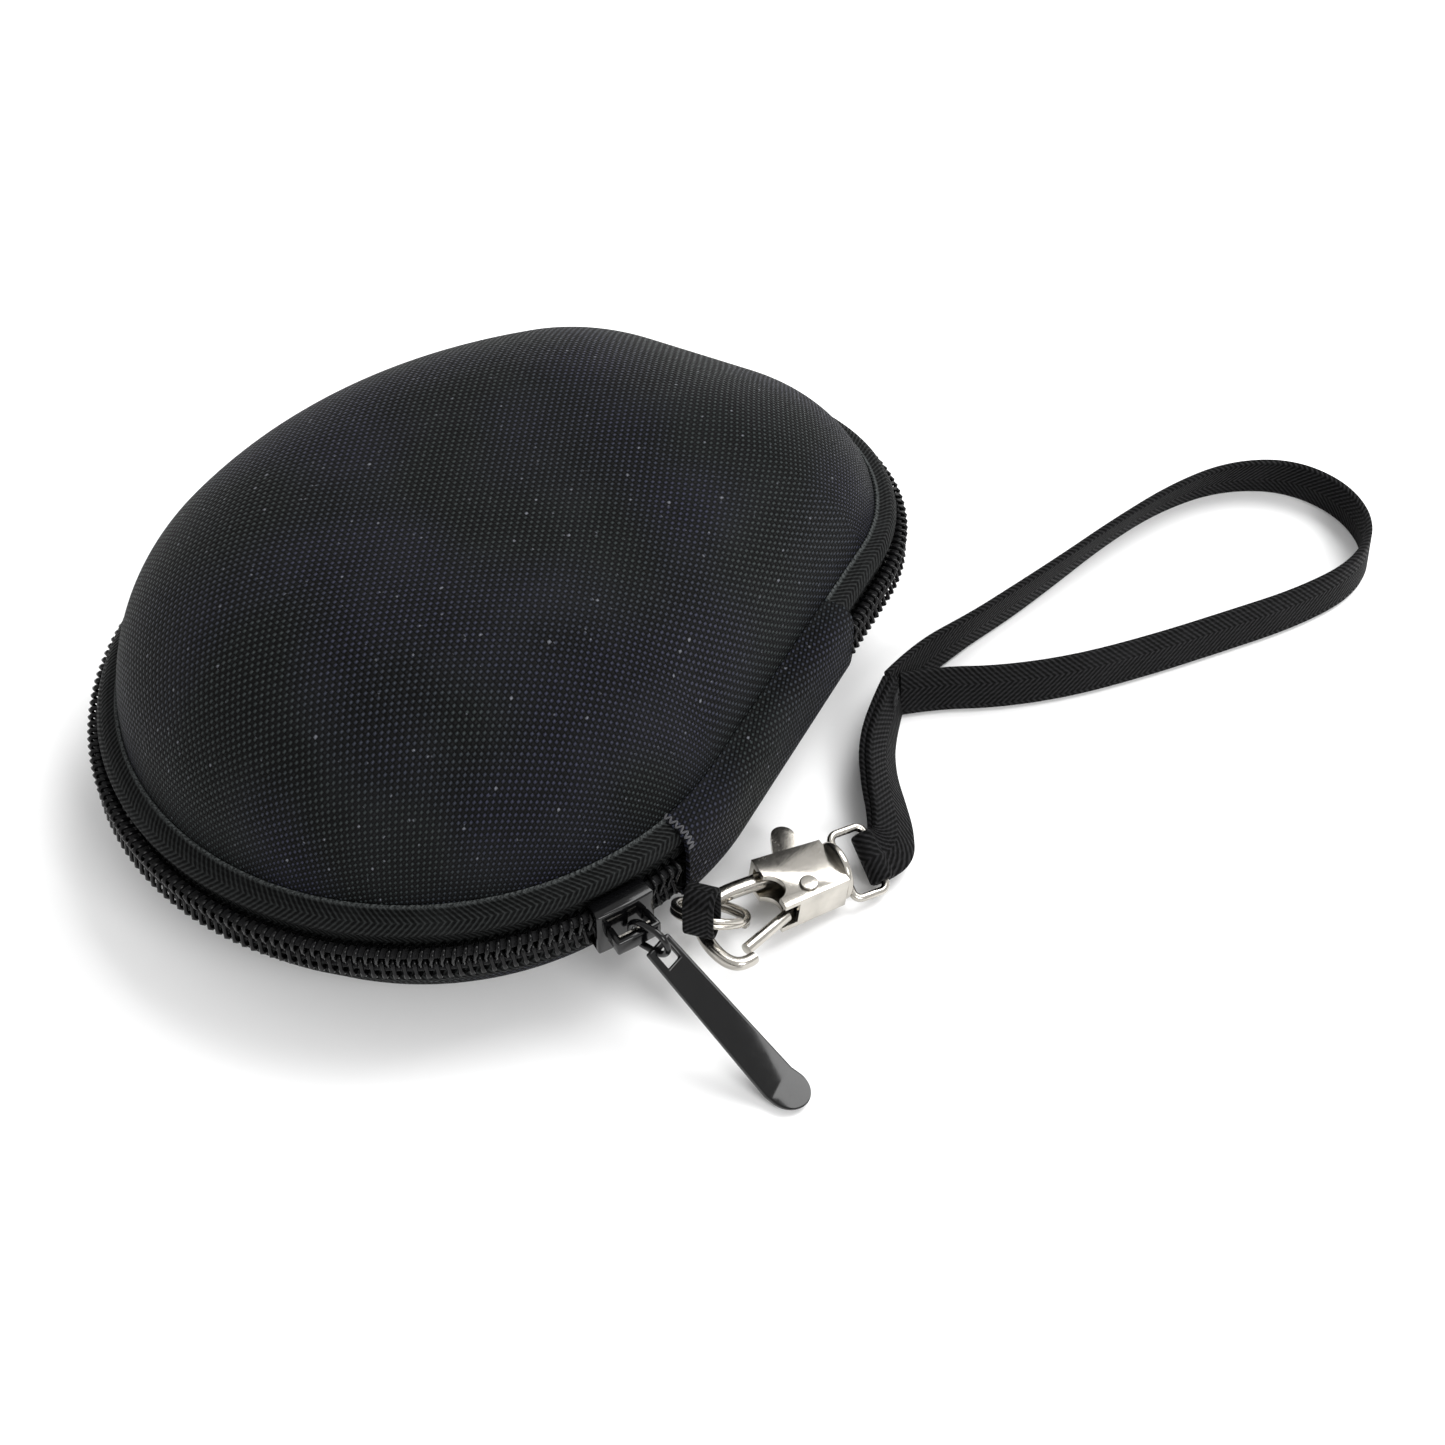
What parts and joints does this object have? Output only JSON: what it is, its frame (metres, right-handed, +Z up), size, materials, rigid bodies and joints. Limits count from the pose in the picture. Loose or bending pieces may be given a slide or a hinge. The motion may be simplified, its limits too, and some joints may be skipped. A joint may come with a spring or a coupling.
{
  "type": "headphone carrying case",
  "caption": "Zipped hard carrying case with a domed lid, shallow tray, coil zip, trigger clasp and wrist strap.",
  "frame": {"origin": "on the floor under the centre of the round front of the case, which is also the axis the zip slider travels round", "axes": "+Z up, +Y along the hinge side towards the narrow end, +X towards the hinge side where the strap is clipped"},
  "size_m": [0.169, 0.1757, 0.0524],
  "materials": {
    "woven_cover": "coarse black ballistic-weave polyester, satin",
    "twill_tape": "black herringbone twill, matt with a slight sheen",
    "lining": "thin black brushed knit",
    "foam_shell": "black moulded EVA foam board, matt",
    "nylon_coil": "black nylon, glossy on each turn",
    "black_metal": "gloss black enamel on zinc",
    "nickel": "polished nickel plate",
    "spring_steel": "bright drawn wire",
    "webbing": "black twill webbing",
    "thread": "black sewing thread"
  },
  "bodies": {
    "base": {"lower_shell": "foam_shell", "lower_cover": "woven_cover", "lower_lining": "lining", "lower_zip_tape": "twill_tape", "lower_zip_coil": "nylon_coil", "hinge_strip": "woven_cover", "hinge_lining": "lining", "ring_tab": "webbing"},
    "lid": {"upper_shell": "foam_shell", "upper_cover": "woven_cover", "upper_lining": "lining", "upper_zip_tape": "twill_tape", "upper_zip_coil": "nylon_coil"},
    "slider": {"slider_body": "black_metal", "slider_crown": "black_metal", "lock_leaf": "spring_steel"},
    "link": {"link_ring": "black_metal"},
    "pull": {"zip_pull": "black_metal"},
    "ring": {"split_ring": "nickel"},
    "swivel": {"strap_bail": "nickel", "swivel_post": "nickel", "strap_neck": "webbing", "strap_loop": "webbing", "strap_stitches": "thread"},
    "clasp": {"clasp_housing": "nickel", "clasp_hook": "nickel", "collar": "nickel", "gate_rivet": "nickel", "gate_spring": "spring_steel"},
    "gate": {"gate_lever": "nickel"}
  },
  "joints": [
    {"name": "lid_hinge", "type": "hinge", "parent": "base", "child": "lid", "pos_m": [0.052, 0, 0.018], "axis": [0, 1, 0], "range_deg": [0, 110], "deforming": ["hinge_strip", "hinge_lining", "upper_zip_tape", "upper_zip_coil"]},
    {"name": "slider_travel", "type": "hinge", "parent": "base", "child": "slider", "pos_m": [0, 0, 0.018], "axis": [0, 0, 1], "range_deg": [-150, 0]},
    {"name": "link_swing", "type": "hinge", "parent": "slider", "child": "link", "pos_m": [0.04726, -0.02674, 0.018], "axis": [0, 0, 1], "range_deg": [-50, 2]},
    {"name": "pull_lift", "type": "hinge", "parent": "link", "child": "pull", "pos_m": [0.05131, -0.02738, 0.018], "axis": [-0.1564, -0.9877, 0], "range_deg": [0, 55]},
    {"name": "ring_turn", "type": "hinge", "parent": "base", "child": "ring", "pos_m": [0.05247, -0.01258, 0.00802], "axis": [-0.1069, 0.6063, 0.788], "continuous": true},
    {"name": "strap_swing", "type": "hinge", "parent": "base", "child": "swivel", "pos_m": [0.05233, -0.01181, 0.00741], "axis": [0, 0, 1], "range_deg": [-8, 0]},
    {"name": "swivel_turn", "type": "hinge", "parent": "swivel", "child": "clasp", "pos_m": [0.0608, -0.0005, 0.0058], "axis": [0.5556, 0.8237, -0.1132], "range_deg": [-4, 9]},
    {"name": "gate_press", "type": "hinge", "parent": "clasp", "child": "gate", "pos_m": [0.06287, -0.0019, 0.0058], "axis": [-0.0633, -0.0938, -0.9936], "range_deg": [0, 6], "stiffness_Nm_per_rad": 0.008}
  ]
}
